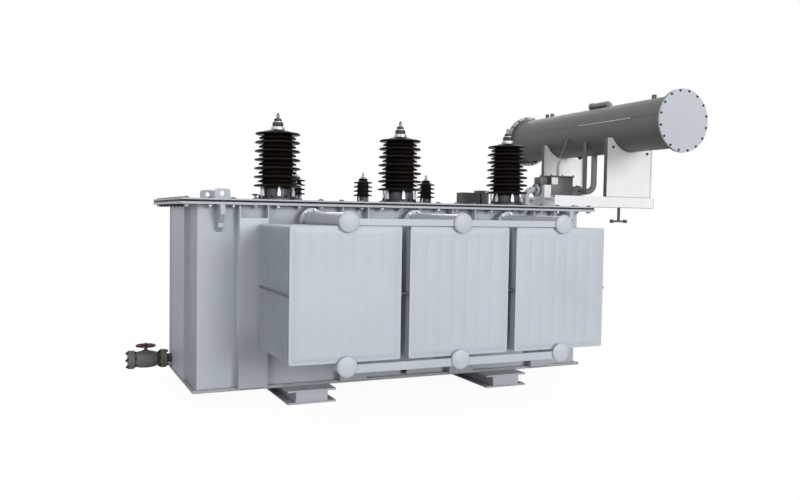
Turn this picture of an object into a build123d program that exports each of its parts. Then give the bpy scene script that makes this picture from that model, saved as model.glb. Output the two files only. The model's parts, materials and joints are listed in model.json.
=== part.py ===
from build123d import *
import os

os.makedirs("parts", exist_ok=True)

# Tank: a welded box with a wide rim, a black gasket and a bolted flat cover.
tank_length = 2900
tank_width = 1140
wall = 8
skid_height = 90
base_thickness = 20
base_overhang = 30
rim_height = 1297
rim_thickness = 15
rim_end_overhang = 110
rim_side_overhang = 80
gasket_thickness = 13
gasket_inset = 4
gasket_width = 60
cover_thickness = 10

# Skids: two closed beams across the tank at track gauge, with wider top and bottom plates.
skid_gauge = 1475
skid_width = 326
skid_web_width = 215
skid_plate = 12
skid_length = 1468
skid_end_inset = 6

# Wall stiffeners: channels whose face plate stops short of the rim, so the rim bolts can be reached.
stiffener_station_shares = (-0.381, -0.143, 0.143, 0.381)
stiffener_width = 190
stiffener_plate = 6
side_stiffener_depth = 70
stiffener_pocket = 83
end_stiffener_width = 500
end_stiffener_depth = 28

# Tank lifting lugs: stepped plates under the rim near the four corners.
tank_lug_inset = 135
tank_lug_thickness = 30
tank_lug_reach = 116
tank_lug_height = 174
tank_lug_nose = 62
tank_lug_heel = 60

# Radiators: pressed plate panels on two header pipes, three a side.
row_shift = 25
radiator_row_inset = 325
radiators_per_side = 3
radiator_wall_gap = 97
panel_count = 13
panel_pitch = 53
panel_gap = 56
panel_plate = 5
panel_drop = 24
panel_lift = 22
flute_count = 7
flute_rise = 2.5
flute_width = 62
flute_crest = 34
flute_end_margin = 78
header_radius = 54
header_lift = 236
header_drop = 92
header_proud = 30
header_lip = 8
header_lip_length = 18
header_dome = 14
flange_radius = 80
flange_thickness = 16
valve_length = 62
low_tie_height = 50
low_tie_drop = 16
high_tie_height = 40
tie_thickness = 10
edge_bar_height = 12
edge_bar_thickness = 6
edge_bar_level_share = 0.49
link_depth = 40

# High-voltage bushings: tall ribbed insulators in a row behind the front edge of the cover.
hv_row_inset = 200
hv_pitch = 907
hv_base_radius = 128
hv_base_height = 14
hv_neck_radius = 102
hv_neck_height = 74
hv_core_radius = 96
hv_shed_radius = 160
hv_small_shed_radius = 132
hv_large_sheds = 7
hv_shed_pitch = 58
hv_shed_rise = 22
hv_shed_edge = 12
hv_top_radius = 78
hv_top_height = 8
hv_taper_share = 0.06
hv_cap_radius = 46
hv_cap_height = 30
hv_nut_radius = 34
hv_nut_height = 38
hv_stud_radius = 12
hv_stud_length = 54
hv_stud_tip = 10

# Low-voltage bushings: short ribbed insulators behind.
lv_row_inset = 230
lv_pitch = 563
lv_base_radius = 62
lv_base_height = 10
lv_neck_radius = 48
lv_neck_height = 52
lv_core_radius = 45
lv_shed_radius = 76
lv_sheds = 4
lv_shed_pitch = 34
lv_shed_rise = 16
lv_shed_edge = 9
lv_waist_radius = 33
lv_cap_radius = 37
lv_top_height = 12
lv_nut_radius = 22
lv_nut_height = 14
lv_stud_radius = 9
lv_stud_length = 34

# Conservator: a horizontal oil drum with bolted end covers, carried past the end of the cover.
drum_overhang = 600
drum_rise = 655
drum_radius = 200
drum_wall = 6
drum_half_length = 1045
drum_rim_radius = 238
drum_rim_thickness = 14
drum_cover_thickness = 14
support_inset = 110
support_plate = 10
support_half_width = 230
support_return = 40
support_top_share = 0.45
beam_height = 88
beam_width = 70
beam_plate = 8
beam_inset = 130
beam_overrun = 260

# Pipework between the cover and the conservator, with the gas relay in the line.
pipe_radius = 26
pipe_wall_flange = 48
pipe_flange_thickness = 12
pipe_bend = 70
riser_inset = 100
line_rise = 142
relay_lead = 100
relay_length = 430
relay_half_width = 80
relay_neck_radius = 40
relay_box_shares = (0.233, 0.747)
relay_valve_shares = (0.077, 0.233)
relay_valve_foot = 62
relay_valve_top = 42
relay_head_shares = (0.03, 0.233)
relay_head_half_width = 46
relay_head_top = 107
relay_foot = 52
relay_top = 122
relay_lid = 12
relay_lid_margin = 8
vent_radius = 11
vent_bend = 60
vent_share = 0.583
vent_y = 45
vent_turn_rise = 360
vent_end_offset = 145
vent_end_y = 150
fill_offset = 165
fill_y = -90
fill_radius = 17
fill_foot_rise = 112
fill_cap_radius = 27
fill_cap_height = 18

# Fittings on the conservator and the cover.
filler_y = -190
filler_run = 250
filler_rise = 28
filler_radius = 25
filler_bend = 38
filler_cap_radius = 32
filler_cap_length = 24
plug_y = 640
plug_radius = 19
plug_height = 30
drum_lug_y = 720
drum_lug_width = 44
drum_lug_height = 34
drum_lug_thickness = 12
drum_lug_eye = 8
drum_lug_eye_height = 19
cover_lug_inset = 221
cover_lug_y_share = 0.45
cover_lug_width = 106
cover_lug_height = 72
cover_lug_thickness = 18
cover_lug_eye = 17
cover_lug_eye_height = 40
cover_lug_corner = 22
tap_x_share = 0.25
tap_length = 161
tap_half_width = 50
tap_height = 101
tap_gap = 14
tap_step_length = 66
tap_step_height = 120
tap_cap = 28

# Drain valve on the end wall, and a drain cock under the front conservator beam.
drain_clearance = 50
drain_lift = 58
drain_pipe_radius = 32
drain_pipe_length = 84
drain_flange_radius = 66
drain_flange_thickness = 20
drain_body_length = 161
drain_body_radius = 60
drain_barrel_radius = 55
drain_bonnet_radius = 27
drain_bonnet_height = 66
drain_gland_radius = 18
drain_gland_height = 12
wheel_radius = 70
wheel_rim_radius = 7
wheel_hub_radius = 14
wheel_hub_height = 18
wheel_spokes = 5
wheel_spoke_radius = 4.5
wheel_stem_radius = 8
wheel_stem_height = 10
wheel_clearance = 0.2
cock_offset = 72
cock_pipe_radius = 12
cock_pipe_length = 110
cock_bar_half_length = 80
cock_bar_radius = 8
cock_knob_radius = 14
cock_knob_length = 26
earth_boss_radius = 18
earth_boss_length = 20
earth_stud_radius = 6
earth_stud_length = 26
earth_lift = 26
earth_x = -13

# Levels and edges that follow from the sizes above.
base_top = skid_height + base_thickness
rim_underside = rim_height - rim_thickness
cover_underside = rim_height + gasket_thickness
cover_top = cover_underside + cover_thickness
half_length = tank_length / 2
half_width = tank_width / 2
rim_half_length = half_length + rim_end_overhang
rim_half_width = half_width + rim_side_overhang
beam_top = cover_top + beam_height
header_low = base_top + header_lift
header_high = rim_underside - header_drop
radiator_pitch = (tank_length - 2 * radiator_row_inset) / radiators_per_side
panel_width = radiator_pitch - panel_gap
panel_bottom = header_low + panel_lift
panel_top = header_high - panel_drop
panel_back = half_width + radiator_wall_gap
radiator_front = panel_back + panel_pitch * (panel_count - 1) + panel_plate + 2 * flute_rise
header_front = radiator_front + header_proud
valve_face = half_width + valve_length
hv_row = hv_row_inset - half_width
lv_row = half_width - lv_row_inset
drum_x = half_length + drum_overhang
drum_z = cover_top + drum_rise
support_row = half_width - support_inset
beam_start = half_length - beam_inset
beam_end = drum_x + beam_overrun
riser_x = half_length - riser_inset
line_z = cover_top + line_rise
relay_start = riser_x + relay_lead
relay_end = relay_start + relay_length
vent_x = relay_start + vent_share * relay_length
vent_turn = cover_top + vent_turn_rise
vent_end_x = drum_x - vent_end_offset
fill_x = drum_x - fill_offset
fill_foot = cover_top + fill_foot_rise
cover_lug_x = half_length - cover_lug_inset
cover_lug_y = cover_lug_y_share * half_width
tap_x = tap_x_share * tank_length
cock_x = drum_x - cock_offset
drain_y = end_stiffener_width / 2 + drain_clearance
drain_z = base_top + drain_lift
drain_axis_x = -(half_length + drain_pipe_length + 2 * drain_flange_thickness + drain_body_length / 2)
drain_outlet = -(half_length + drain_pipe_length + 4 * drain_flange_thickness + drain_body_length)
middle_x = (drum_x + drum_rim_radius + drain_outlet) / 2

low = (Align.CENTER, Align.CENTER, Align.MIN)
corner = (Align.MIN, Align.MIN, Align.MIN)


def block(x_span, y_span, z_span):
    size = [span[1] - span[0] for span in (x_span, y_span, z_span)]
    return Pos(x_span[0], y_span[0], z_span[0]) * Box(*size, align=corner)


def rod(start, end, radius):
    axis = Vector(*end) - Vector(*start)
    return Plane(origin=start, z_dir=axis) * Cylinder(radius, axis.length, align=low)


def turned(outline):
    face = make_face(Polyline(*[(r, 0, z) for r, z in outline], close=True))
    return revolve(face, Axis.Z)


def bent_pipe(points, radius, bend):
    path = FilletPolyline(*points, radius=bend)
    return sweep(Plane(origin=path @ 0, z_dir=path % 0) * Circle(radius), path)


def both_ways(part):
    return [part, mirror(part, Plane.XZ)]


def save(name, solids):
    solids = solids if isinstance(solids, (list, tuple)) else [solids]
    pieces = [s for solid in solids for s in solid.solids()]
    shape = pieces[0] if len(pieces) == 1 else Compound(children=pieces)
    export_step(Pos(-middle_x, 0, 0) * shape, f"parts/{name}.step")


# Skids and tank.
def skid(x):
    half, web, reach = skid_width / 2, skid_web_width / 2, skid_length / 2
    beam = block((x - web, x + web), (skid_end_inset - reach, reach - skid_end_inset), (0, skid_height))
    for z in (0, skid_height - skid_plate):
        beam += block((x - half, x + half), (-reach, reach), (z, z + skid_plate))
    return beam


save("skid_left", skid(-skid_gauge / 2))
save("skid_right", skid(skid_gauge / 2))
base_half_length = half_length + base_overhang
base_half_width = half_width + base_overhang
save("base_plate", block((-base_half_length, base_half_length), (-base_half_width, base_half_width),
                         (skid_height, base_top)))
wall_span = (base_top, rim_underside)
front_wall = block((-half_length, half_length), (-half_width, wall - half_width), wall_span)
left_wall = block((-half_length, wall - half_length), (wall - half_width, half_width - wall), wall_span)
save("front_wall", front_wall)
save("back_wall", mirror(front_wall, Plane.XZ))
save("left_end_wall", left_wall)
save("right_end_wall", mirror(left_wall, Plane.YZ))

rim_hole = block((wall - half_length, half_length - wall), (wall - half_width, half_width - wall),
                 (rim_underside, rim_height))
save("tank_rim", block((-rim_half_length, rim_half_length), (-rim_half_width, rim_half_width),
                       (rim_underside, rim_height)) - rim_hole)
gasket_x, gasket_y = rim_half_length - gasket_inset, rim_half_width - gasket_inset
gasket_hole = block((gasket_width - gasket_x, gasket_x - gasket_width),
                    (gasket_width - gasket_y, gasket_y - gasket_width), (rim_height, cover_underside))
save("cover_gasket", block((-gasket_x, gasket_x), (-gasket_y, gasket_y),
                           (rim_height, cover_underside)) - gasket_hole)
save("cover_plate", block((-rim_half_length, rim_half_length), (-rim_half_width, rim_half_width),
                          (cover_underside, cover_top)))


# A stiffener stands on a wall face at the origin and reaches out along -Y.
def stiffener(width, depth, pocket):
    half = width / 2
    outer = block((-half, half), (-depth, 0), wall_span)
    inner = block((stiffener_plate - half, half - stiffener_plate), (stiffener_plate - depth, 0), wall_span)
    notch = block((stiffener_plate - half, half - stiffener_plate), (-depth, 0),
                  (rim_underside - pocket, rim_underside))
    return outer - inner - notch


stations = [share * tank_length for share in stiffener_station_shares]
side_stiffener = stiffener(stiffener_width, side_stiffener_depth, stiffener_pocket)
side_stiffeners = [Pos(x, -half_width, 0) * side_stiffener for x in stations]
save("front_stiffeners", side_stiffeners)
save("back_stiffeners", [mirror(s, Plane.XZ) for s in side_stiffeners])
end_stiffener = stiffener(end_stiffener_width, end_stiffener_depth, stiffener_plate)
end_stiffener = Pos(-half_length, 0, 0) * Rot(0, 0, -90) * end_stiffener
save("end_stiffeners", [end_stiffener, mirror(end_stiffener, Plane.YZ)])

# Each lifting lug is a plate square to the wall with a blunt nose above a narrower heel.
lug_step = tank_lug_reach - tank_lug_heel
lug_outline = [(0, 0), (tank_lug_reach, 0), (tank_lug_reach, tank_lug_nose),
               (tank_lug_heel, tank_lug_nose + lug_step),
               (tank_lug_heel, tank_lug_height - tank_lug_heel / 2), (0, tank_lug_height)]
lug_face = Plane.YZ * make_face(Polyline(*[(-half_width - y, rim_underside - z) for y, z in lug_outline],
                                         close=True))
lug_x = half_length - tank_lug_inset
tank_lugs = []
for x in (-lug_x, lug_x):
    plate = Pos(x, 0, 0) * extrude(lug_face, tank_lug_thickness / 2, both=True)
    tank_lugs += both_ways(plate)
save("tank_lifting_lugs", tank_lugs)


# Radiator: panels are pressed into raised vertical flutes and welded round the header pipes.
def panel(y):
    half, rise = panel_width / 2, panel_plate / 2 + flute_rise
    sheet = block((-half, half), (y - panel_plate / 2, y + panel_plate / 2), (panel_bottom, panel_top))
    pitch = panel_width / flute_count
    foot, crest = flute_width / 2, flute_crest / 2
    outline = [(-foot, 0), (-crest, -rise), (crest, -rise), (foot, 0), (crest, rise), (-crest, rise)]
    for i in range(flute_count):
        x = (i + 1 / 2) * pitch - half
        ridge = Plane.XY.offset(panel_bottom + flute_end_margin) * Pos(x, y) * make_face(
            Polyline(*outline, close=True))
        sheet += extrude(ridge, panel_top - panel_bottom - 2 * flute_end_margin)
    return sheet


def radiator():
    stack = None
    for i in range(panel_count):
        sheet = panel(-(panel_back + panel_plate / 2 + flute_rise + i * panel_pitch))
        stack = sheet if stack is None else stack + sheet
    for z in (header_low, header_high):
        stack += rod((0, -valve_face, z), (0, -header_front, z), header_radius)
        stack += rod((0, -valve_face, z), (0, -valve_face - flange_thickness, z), flange_radius)
        cap = rod((0, header_lip_length - header_front, z), (0, -header_front, z),
                  header_radius + header_lip)
        stack += fillet(cap.edges().group_by(Axis.Y)[0], header_dome)
    bar_z = panel_bottom + edge_bar_level_share * (panel_top - panel_bottom)
    for side in (-1, 1):
        edge = side * panel_width / 2
        x_span = sorted((edge, edge + side * edge_bar_thickness))
        stack += block(x_span, (-radiator_front, -panel_back), (bar_z, bar_z + edge_bar_height))
    return stack


radiator_x = [row_shift + (i - (radiators_per_side - 1) / 2) * radiator_pitch
              for i in range(radiators_per_side)]
one_radiator = radiator()
for side, x in zip(("left", "middle", "right"), radiator_x):
    placed = Pos(x, 0, 0) * one_radiator
    save(f"front_radiator_{side}", placed)
    save(f"back_radiator_{side}", mirror(placed, Plane.XZ))

valves = []
ties = []
tie_y = (-header_front + header_lip_length, -header_front + header_lip_length + tie_thickness)
for z, drop, tie_height in ((header_low, low_tie_drop, low_tie_height), (header_high, 0, high_tie_height)):
    tie_z = (z - drop - tie_height / 2, z - drop + tie_height / 2)
    tie = block((radiator_x[0], radiator_x[-1]), tie_y, tie_z)
    for x in radiator_x:
        body = rod((x, -half_width, z), (x, -valve_face, z), header_radius)
        body += rod((x, flange_thickness - valve_face, z), (x, -valve_face, z), flange_radius)
        valves += both_ways(body)
        tie -= rod((x, 0, z), (x, -header_front, z), header_radius)
    for bar in tie.solids():
        ties += both_ways(bar)
bar_z = panel_bottom + edge_bar_level_share * (panel_top - panel_bottom)
for left, right in zip(radiator_x[:-1], radiator_x[1:]):
    gap = (left + panel_width / 2 + edge_bar_thickness, right - panel_width / 2 - edge_bar_thickness)
    ties += both_ways(block(gap, (-radiator_front, link_depth - radiator_front),
                            (bar_z, bar_z + edge_bar_height)))
save("radiator_valves", valves)
save("radiator_ties", ties)


# Bushings: a metal collar, a ribbed insulator and a stepped terminal, turned about their own axis.
def shed_outline(z, core, radius, rise, edge):
    return [(core, z), (radius, z), (radius, z + edge), (core, z + rise)]


def hv_insulator():
    outline = [(0, hv_start), (hv_core_radius, hv_start)]
    for i in range(hv_sheds):
        z = hv_start + (i + 1 / 2) * hv_shed_pitch / 2
        shrink = 1 - hv_taper_share * i / hv_sheds
        reach = hv_shed_radius if i % 2 == 0 else hv_small_shed_radius
        outline += shed_outline(z, hv_core_radius * shrink, reach * shrink, hv_shed_rise, hv_shed_edge)
    outline += [(hv_top_radius, hv_seat), (0, hv_seat)]
    return turned(outline)


def terminal(start, steps, tip):
    outline = [(0, start)]
    z = start
    for radius, height in steps:
        outline += [(radius, z), (radius, z + height)]
        z += height
    radius, height = steps[-1]
    outline[-1] = (radius, z - tip)
    outline += [(radius - tip, z), (0, z)] if radius > tip else [(0, z)]
    return turned(outline)


def collar(base_radius, base_height, neck_radius, neck_height):
    base_level, neck_level = cover_top + base_height, cover_top + neck_height
    return turned([(0, cover_top), (base_radius, cover_top), (base_radius, base_level),
                   (neck_radius, base_level), (neck_radius, neck_level), (0, neck_level)])


hv_start = cover_top + hv_neck_height
hv_sheds = 2 * hv_large_sheds - 1
hv_seat = hv_start + (hv_sheds - 1 / 2) * hv_shed_pitch / 2 + hv_shed_rise + hv_top_height
hv_collar = collar(hv_base_radius, hv_base_height, hv_neck_radius, hv_neck_height)
hv_terminal = terminal(hv_seat, [(hv_cap_radius, hv_cap_height), (hv_nut_radius, hv_nut_height),
                                 (hv_stud_radius, hv_stud_length)], hv_stud_tip)
hv_places = [Pos(row_shift + i * hv_pitch, hv_row, 0) for i in (-1, 0, 1)]
save("hv_collars", [place * hv_collar for place in hv_places])
for side, place in zip(("left", "middle", "right"), hv_places):
    save(f"hv_insulator_{side}", place * hv_insulator())
save("hv_terminals", [place * hv_terminal for place in hv_places])

lv_start = cover_top + lv_neck_height
lv_outline = [(0, lv_start), (lv_core_radius, lv_start)]
for i in range(lv_sheds):
    lv_outline += shed_outline(lv_start + (i + 1 / 2) * lv_shed_pitch - lv_shed_rise / 2, lv_core_radius,
                               lv_shed_radius, lv_shed_rise, lv_shed_edge)
lv_cap_level = lv_start + lv_sheds * lv_shed_pitch
lv_seat = lv_cap_level + lv_top_height
lv_outline += [(lv_waist_radius, lv_cap_level), (lv_cap_radius, lv_cap_level + lv_top_height / 2),
               (lv_cap_radius, lv_seat), (0, lv_seat)]
lv_collar = collar(lv_base_radius, lv_base_height, lv_neck_radius, lv_neck_height)
lv_terminal = terminal(lv_seat, [(lv_nut_radius, lv_nut_height), (lv_stud_radius, lv_stud_length)],
                       lv_stud_radius / 2)
lv_places = [Pos(row_shift + i * lv_pitch, lv_row, 0) for i in (-1, 0, 1)]
save("lv_collars", [place * lv_collar for place in lv_places])
save("lv_insulators", [place * turned(lv_outline) for place in lv_places])
save("lv_terminals", [place * lv_terminal for place in lv_places])

# Conservator drum: a tube with welded end rims and flat end covers.
cover_seat = drum_half_length - drum_cover_thickness
drum_solid = rod((drum_x, -cover_seat, drum_z), (drum_x, cover_seat, drum_z), drum_radius)
drum = drum_solid
for side in (-1, 1):
    drum += rod((drum_x, side * (cover_seat - drum_rim_thickness), drum_z),
                (drum_x, side * cover_seat, drum_z), drum_rim_radius)
drum -= rod((drum_x, -cover_seat, drum_z), (drum_x, cover_seat, drum_z), drum_radius - drum_wall)
save("conservator_drum", drum)
end_cover = rod((drum_x, -cover_seat, drum_z), (drum_x, -drum_half_length, drum_z), drum_rim_radius)
save("conservator_front_cover", end_cover)
save("conservator_back_cover", mirror(end_cover, Plane.XZ))

support_x = (drum_x - support_half_width, drum_x + support_half_width)
support = block(support_x, (-support_row, support_plate - support_row), (beam_top, drum_z))
for edge in (support_x[0], support_x[1] - support_plate):
    support += block((edge, edge + support_plate), (-support_row, support_return - support_row),
                     (beam_top, drum_z))
support -= drum_solid
support -= block(support_x, (-support_row, support_return - support_row), (drum_z - support_top_share * drum_radius, drum_z))
save("conservator_supports", both_ways(support))
beam_y = (-support_row, beam_width - support_row)
beam = block((beam_start, beam_end), beam_y, (cover_top, beam_top))
beam -= block((beam_start, beam_end), (beam_y[0] + beam_plate, beam_y[1]),
              (cover_top + beam_plate, beam_top - beam_plate))
save("conservator_beams", both_ways(beam))


# Oil line: a riser from the cover, a shut-off valve and the gas relay, and a bend up into the drum.
def foot_flange(point, direction):
    end = [p + d * pipe_flange_thickness for p, d in zip(point, direction)]
    return rod(point, end, pipe_wall_flange)


riser = bent_pipe([(riser_x, 0, cover_top), (riser_x, 0, line_z), (relay_start, 0, line_z)],
                  pipe_radius, pipe_bend)
riser += foot_flange((riser_x, 0, cover_top), (0, 0, 1))
riser += foot_flange((relay_start, 0, line_z), (-1, 0, 0))
save("relay_riser", riser)
relay_x = [relay_start + share * relay_length for share in relay_box_shares]
shut_off_x = [relay_start + share * relay_length for share in relay_valve_shares]
head_x = [relay_start + share * relay_length for share in relay_head_shares]
relay = rod((relay_start, 0, line_z), (relay_end, 0, line_z), relay_neck_radius)
for x, way in ((relay_start, 1), (relay_end, -1)):
    relay += foot_flange((x, 0, line_z), (way, 0, 0))
relay += block(shut_off_x, (-relay_half_width, relay_half_width),
               (line_z - relay_valve_foot, line_z + relay_valve_top))
relay += block(head_x, (-relay_head_half_width, relay_head_half_width),
               (line_z + relay_valve_top, line_z + relay_head_top))
relay += block(relay_x, (-relay_half_width, relay_half_width), (line_z - relay_foot, line_z + relay_top))
relay += block((relay_x[0] - relay_lid_margin, relay_x[1] + relay_lid_margin),
               (-relay_half_width - relay_lid_margin, relay_half_width + relay_lid_margin),
               (line_z + relay_top - relay_lid, line_z + relay_top))
save("gas_relay", relay)
upper = bent_pipe([(relay_end, 0, line_z), (drum_x, 0, line_z), (drum_x, 0, drum_z)], pipe_radius, pipe_bend)
upper += foot_flange((relay_end, 0, line_z), (1, 0, 0))
save("relay_drum_pipe", upper - drum_solid)
vent_foot = (vent_x, vent_y, line_z + relay_top)
vent = bent_pipe([vent_foot, (vent_x, vent_y, vent_turn), (vent_end_x, vent_end_y, drum_z)],
                 vent_radius, vent_bend)
save("relay_vent_pipe", vent - drum_solid)
fill = rod((fill_x, fill_y, fill_foot), (fill_x, fill_y, drum_z), fill_radius)
fill += rod((fill_x, fill_y, fill_foot), (fill_x, fill_y, fill_foot + fill_cap_height), fill_cap_radius)
save("fill_pipe", fill - drum_solid)

# Fittings on the drum and the cover.
drum_top = drum_z + drum_radius
filler = bent_pipe([(drum_x, filler_y, drum_z), (drum_x, filler_y, drum_top + filler_rise),
                    (drum_x, filler_y + filler_run, drum_top + filler_rise)], filler_radius, filler_bend)
filler += rod((drum_x, filler_y + filler_run - filler_cap_length, drum_top + filler_rise),
              (drum_x, filler_y + filler_run, drum_top + filler_rise), filler_cap_radius)
plug = rod((drum_x, plug_y, drum_z), (drum_x, plug_y, drum_top + plug_height), plug_radius)
save("filler_elbow", filler - drum_solid)
save("vent_plug", plug - drum_solid)


def lug(width, height, thickness, eye, eye_height, corner_radius, sunk):
    half = width / 2
    plate = block((-half, half), (-thickness / 2, thickness / 2), (-sunk, height))
    plate = fillet(plate.edges().filter_by(Axis.Y).group_by(Axis.Z)[-1], corner_radius)
    return plate - rod((0, -thickness, eye_height), (0, thickness, eye_height), eye)


drum_lug = lug(drum_lug_width, drum_lug_height, drum_lug_thickness, drum_lug_eye, drum_lug_eye_height,
               drum_lug_width / 4, drum_radius)
drum_lug = Pos(drum_x, -drum_lug_y, drum_top) * Rot(0, 0, 90) * drum_lug - drum_solid
save("conservator_lugs", both_ways(drum_lug))
cover_lug = lug(cover_lug_width, cover_lug_height, cover_lug_thickness, cover_lug_eye, cover_lug_eye_height,
                cover_lug_corner, 0)
cover_lugs = []
for x in (-cover_lug_x, cover_lug_x):
    cover_lugs += both_ways(Pos(x, -cover_lug_y, cover_top) * cover_lug)
save("cover_lugs", cover_lugs)
tap = block((tap_x, tap_x + tap_length), (-tap_half_width, tap_half_width),
            (cover_top, cover_top + tap_height))
tap_end = tap_x + tap_length
step_x = (tap_end + tap_gap, tap_end + tap_gap + tap_step_length)
step_top = cover_top + tap_step_height
tap += block(step_x, (-tap_half_width, tap_half_width), (cover_top, step_top))
tap += block((tap_end, step_x[1]), (-tap_half_width, tap_half_width), (step_top - tap_cap, step_top))
save("tap_changer_head", tap)

# Drain valve: flanged body on a stub from the wall, with a handwheel that turns on its gland.
inlet = -(half_length + drain_pipe_length)
body_start = inlet - 2 * drain_flange_thickness
body_end = body_start - drain_body_length


def drain_point(x):
    return (x, drain_y, drain_z)


stub = rod(drain_point(-half_length), drain_point(inlet), drain_pipe_radius)
stub += rod(drain_point(inlet + drain_flange_thickness), drain_point(inlet), drain_flange_radius)
save("drain_stub", stub)
valve = rod(drain_point(inlet), drain_point(body_end - drain_flange_thickness), drain_pipe_radius)
valve += rod(drain_point(inlet), drain_point(inlet - drain_flange_thickness), drain_flange_radius)
valve += rod(drain_point(body_end), drain_point(body_end - drain_flange_thickness), drain_flange_radius)
valve += rod(drain_point(body_start), drain_point(body_end), drain_barrel_radius)
valve += Pos(*drain_point(drain_axis_x)) * Sphere(drain_body_radius)
bonnet_top = drain_z + drain_bonnet_height
gland_top = bonnet_top + drain_gland_height
valve += rod(drain_point(drain_axis_x), (drain_axis_x, drain_y, bonnet_top), drain_bonnet_radius)
valve += rod(drain_point(drain_axis_x), (drain_axis_x, drain_y, gland_top), drain_gland_radius)
save("drain_valve", valve)
save("drain_blank", rod(drain_point(body_end - drain_flange_thickness), drain_point(drain_outlet),
                        drain_flange_radius))
wheel_z = gland_top + wheel_stem_height + wheel_hub_height / 2
wheel = Pos(0, 0, gland_top + wheel_clearance) * Cylinder(
    wheel_stem_radius, wheel_stem_height + wheel_hub_height - wheel_clearance, align=low)
wheel += Pos(0, 0, gland_top + wheel_stem_height) * Cylinder(wheel_hub_radius, wheel_hub_height, align=low)
wheel += Pos(0, 0, wheel_z) * Torus(wheel_radius - wheel_rim_radius, wheel_rim_radius)
for i in range(wheel_spokes):
    spoke = block((0, wheel_radius - wheel_rim_radius), (-wheel_spoke_radius, wheel_spoke_radius),
                  (wheel_z - wheel_spoke_radius, wheel_z + wheel_spoke_radius))
    wheel += Rot(0, 0, 360 * (i + 1 / 2) / wheel_spokes) * spoke
save("drain_handwheel", Pos(drain_axis_x, drain_y, 0) * wheel)

cock_y = beam_width / 2 - support_row
cock_foot = cover_top - cock_pipe_length
cock = rod((cock_x, cock_y, cock_foot), (cock_x, cock_y, cover_top), cock_pipe_radius)
cock += rod((cock_x - cock_bar_half_length, cock_y, cock_foot),
            (cock_x + cock_bar_half_length, cock_y, cock_foot), cock_bar_radius)
for side in (-1, 1):
    end = cock_x + side * cock_bar_half_length
    knob = (end - side * cock_knob_length, cock_y, cock_foot)
    cock += rod((end, cock_y, cock_foot), knob, cock_knob_radius)
save("drain_cock", cock)

earth_z = base_top + earth_lift
earth_face = -half_width - earth_boss_length
earth = rod((earth_x, -half_width, earth_z), (earth_x, earth_face, earth_z), earth_boss_radius)
earth += rod((earth_x, -half_width, earth_z), (earth_x, earth_face - earth_stud_length, earth_z),
             earth_stud_radius)
save("earth_terminals", both_ways(earth))
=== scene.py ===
import json
import math

import bmesh
import bpy
from mathutils import Matrix, Vector


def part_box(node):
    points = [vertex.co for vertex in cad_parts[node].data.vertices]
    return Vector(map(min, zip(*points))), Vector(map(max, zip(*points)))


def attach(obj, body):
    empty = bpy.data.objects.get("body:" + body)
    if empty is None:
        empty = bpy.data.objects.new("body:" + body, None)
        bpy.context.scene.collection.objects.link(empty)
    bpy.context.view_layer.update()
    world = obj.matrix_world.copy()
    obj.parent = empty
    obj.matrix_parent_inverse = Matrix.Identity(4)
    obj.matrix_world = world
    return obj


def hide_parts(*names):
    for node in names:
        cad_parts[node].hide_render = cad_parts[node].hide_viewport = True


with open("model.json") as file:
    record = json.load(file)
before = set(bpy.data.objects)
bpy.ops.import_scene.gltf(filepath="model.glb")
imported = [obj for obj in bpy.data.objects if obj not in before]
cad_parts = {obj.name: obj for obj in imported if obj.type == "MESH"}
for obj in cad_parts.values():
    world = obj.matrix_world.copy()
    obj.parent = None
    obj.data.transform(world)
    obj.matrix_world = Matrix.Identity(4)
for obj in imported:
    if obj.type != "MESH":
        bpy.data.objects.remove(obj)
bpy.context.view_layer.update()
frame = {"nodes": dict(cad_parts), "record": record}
nodes = frame["nodes"]
scene = bpy.context.scene
scene.view_settings.view_transform = "Standard"
wallLow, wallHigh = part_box("front_wall")
tankX = (wallLow.x + wallHigh.x) / 2      # middle of the tank along its length
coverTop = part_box("cover_plate")[1].z
stations = (-1.1049, -0.4147, 0.4147, 1.1049)      # stiffeners of the long walls, from the tank's middle
print("frame loaded", len(nodes), "nodes")

camera = {
    "lens": 35.8,
    "sensor": 36,
    "farthest": 200,
    "place": (-2.3596, -5.6277, 1.2369),   # measured from the tank's middle, on the ground
    "right": (0.91004805, -0.41418156, 0.0163147),
    "up": (0.0036503, 0.04736624, 0.99887092),
}
eye = bpy.data.objects.new("eye", bpy.data.cameras.new("eye"))
scene.collection.objects.link(eye)
eye.data.lens = camera["lens"]
eye.data.sensor_width = camera["sensor"]
eye.data.clip_end = camera["farthest"]
right, up = Vector(camera["right"]), Vector(camera["up"])
turn = Matrix((right, up, right.cross(up))).transposed().to_4x4()
eye.matrix_world = Matrix.Translation(Vector(camera["place"]) + Vector((tankX, 0, 0))) @ turn
scene.camera = eye
print("camera set")


# A wire is one output socket; sums on wires add Math nodes.
class Wire:
    def __init__(self, graph, socket):
        self.graph, self.socket = graph, socket

    def combine(self, operation, first, second):
        return self.graph.node("ShaderNodeMath", {"operation": operation}, {0: first, 1: second})

    def __add__(self, other):
        return self.combine("ADD", self, other)

    def __sub__(self, other):
        return self.combine("SUBTRACT", self, other)

    def __rsub__(self, other):
        return self.combine("SUBTRACT", other, self)

    def __mul__(self, other):
        return self.combine("MULTIPLY", self, other)

    __radd__ = __add__


class Graph:
    def __init__(self, tree):
        self.tree = tree

    def node(self, kind, settings=None, sockets=None, out=0):
        made = self.tree.nodes.new(kind)
        for key, value in (settings or {}).items():
            if key == "stops":
                for stop, (place, shade) in zip(made.color_ramp.elements, value):
                    stop.position, stop.color = place, (shade, shade, shade, 1)
            else:
                setattr(made, key, value)
        for key, value in (sockets or {}).items():
            self.join(made.inputs[key], value)
        return Wire(self, made.outputs[out]) if made.outputs else None

    def join(self, socket, value):
        for each in value if isinstance(value, list) else [value]:
            if isinstance(each, Wire):
                self.tree.links.new(each.socket, socket)
            else:
                socket.default_value = each


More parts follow.
